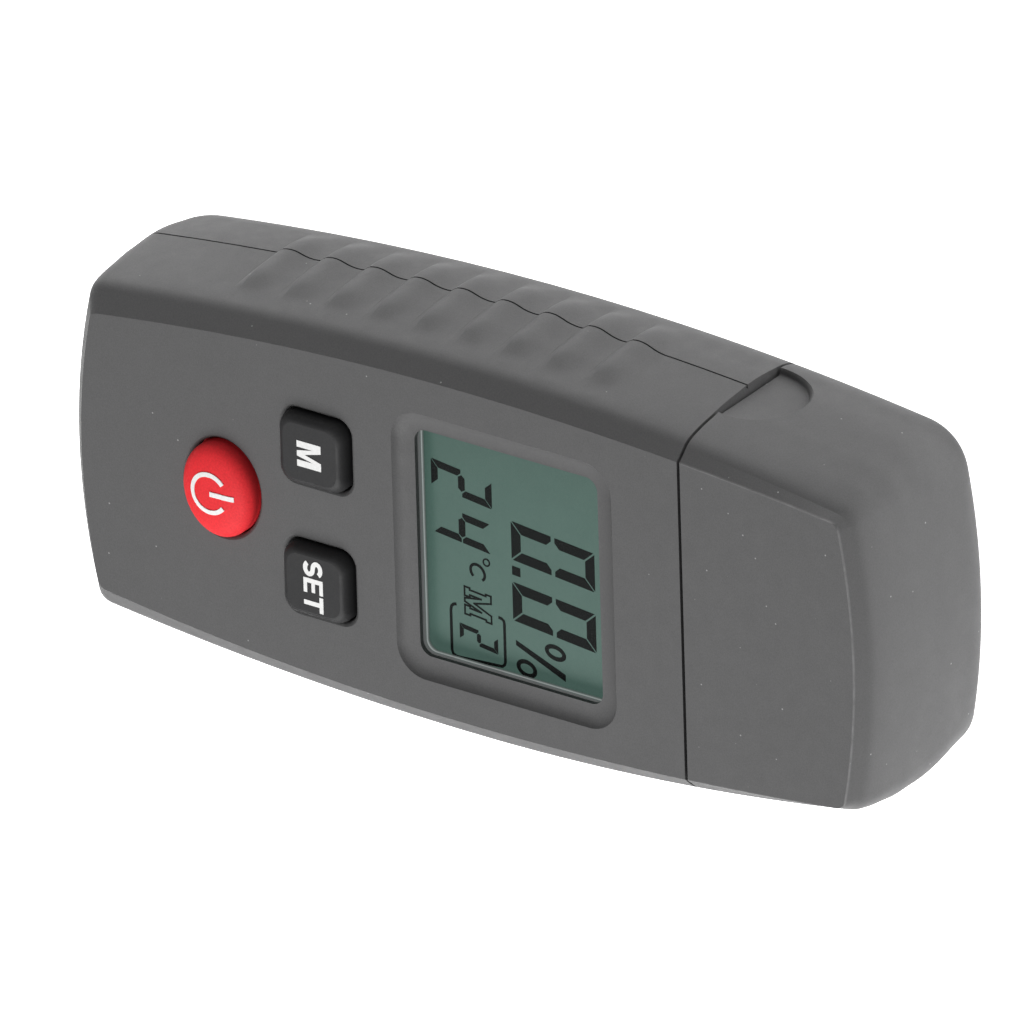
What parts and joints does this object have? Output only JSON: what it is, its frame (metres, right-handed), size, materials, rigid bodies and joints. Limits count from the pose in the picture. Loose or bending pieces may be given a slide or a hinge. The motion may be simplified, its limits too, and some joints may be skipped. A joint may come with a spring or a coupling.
{
  "type": "pin moisture meter",
  "caption": "Handheld pin-type moisture meter: barrel-shaped grey case with finger grooves, reflective display, push keys and a pull-off cap over sharp electrode pins.",
  "frame": {"origin": "centre of the bounding box in plan, on the plane of the back face", "axes": "+Z normal to the display face (meter lying on its back), +Y along the meter towards the capped pins, +X to the right when the display is read with the pins up"},
  "size_m": [0.0608, 0.132, 0.0314],
  "materials": {
    "case_grey": "fine matte texture",
    "clear_pane": "clear moulded pane",
    "white_plastic": "moulded",
    "lcd_glass": "grey-green reflective display",
    "reflector": "satin foil",
    "strip_rubber": "layered contact rubber",
    "black_rubber": "matte",
    "board_green": "solder mask",
    "screw_steel": "zinc plated",
    "switch_black": "moulded",
    "plunger": "moulded",
    "key_red": "satin",
    "key_dark": "satin",
    "chip_black": "moulded",
    "capacitor_can": "satin",
    "bead_epoxy": "dipped",
    "socket_brass": "turned",
    "pin_steel": "polished",
    "terminal_metal": "nickel plated",
    "cell_jacket": "printed jacket",
    "spring_steel": "nickel plated"
  },
  "bodies": {
    "case": {"battery_cells": "cell_jacket", "battery_plates": "terminal_metal", "battery_springs": "spring_steel", "board_screws": "screw_steel", "buzzer": "chip_black", "capacitors": "capacitor_can", "case_screws": "screw_steel", "circuit_board": "board_green", "contact_strips": "strip_rubber", "controller_chip": "chip_black", "display_holder": "white_plastic", "electrode_pins": "pin_steel", "front_shell": "case_grey", "key_switches": "switch_black", "lcd_front_glass": "lcd_glass", "lcd_rear_glass": "lcd_glass", "lcd_reflector": "reflector", "pin_sockets": "socket_brass", "pin_terminals": "terminal_metal", "rear_shell": "case_grey", "temperature_bead": "bead_epoxy", "window_gasket": "black_rubber", "window_pane": "clear_pane"},
    "cap": {"cap": "case_grey"},
    "battery_door": {"battery_door": "case_grey"},
    "key_power": {"key_power": "key_red", "plunger_power": "plunger"},
    "key_mode": {"key_mode": "key_dark", "plunger_mode": "plunger"},
    "key_set": {"key_set": "key_dark", "plunger_set": "plunger"}
  },
  "joints": [
    {"name": "cap_pull", "type": "slide", "parent": "case", "child": "cap", "axis": [0, 1, 0], "range_m": [0, 0.032]},
    {"name": "battery_door_lift", "type": "slide", "parent": "case", "child": "battery_door", "axis": [0, 0, -1], "range_m": [0, 0.02]},
    {"name": "key_power_press", "type": "slide", "parent": "case", "child": "key_power", "axis": [0, 0, -1], "range_m": [0, 0.0006], "stiffness_N_per_m": 1500},
    {"name": "key_mode_press", "type": "slide", "parent": "case", "child": "key_mode", "axis": [0, 0, -1], "range_m": [0, 0.0006], "stiffness_N_per_m": 1500},
    {"name": "key_set_press", "type": "slide", "parent": "case", "child": "key_set", "axis": [0, 0, -1], "range_m": [0, 0.0006], "stiffness_N_per_m": 1500}
  ]
}
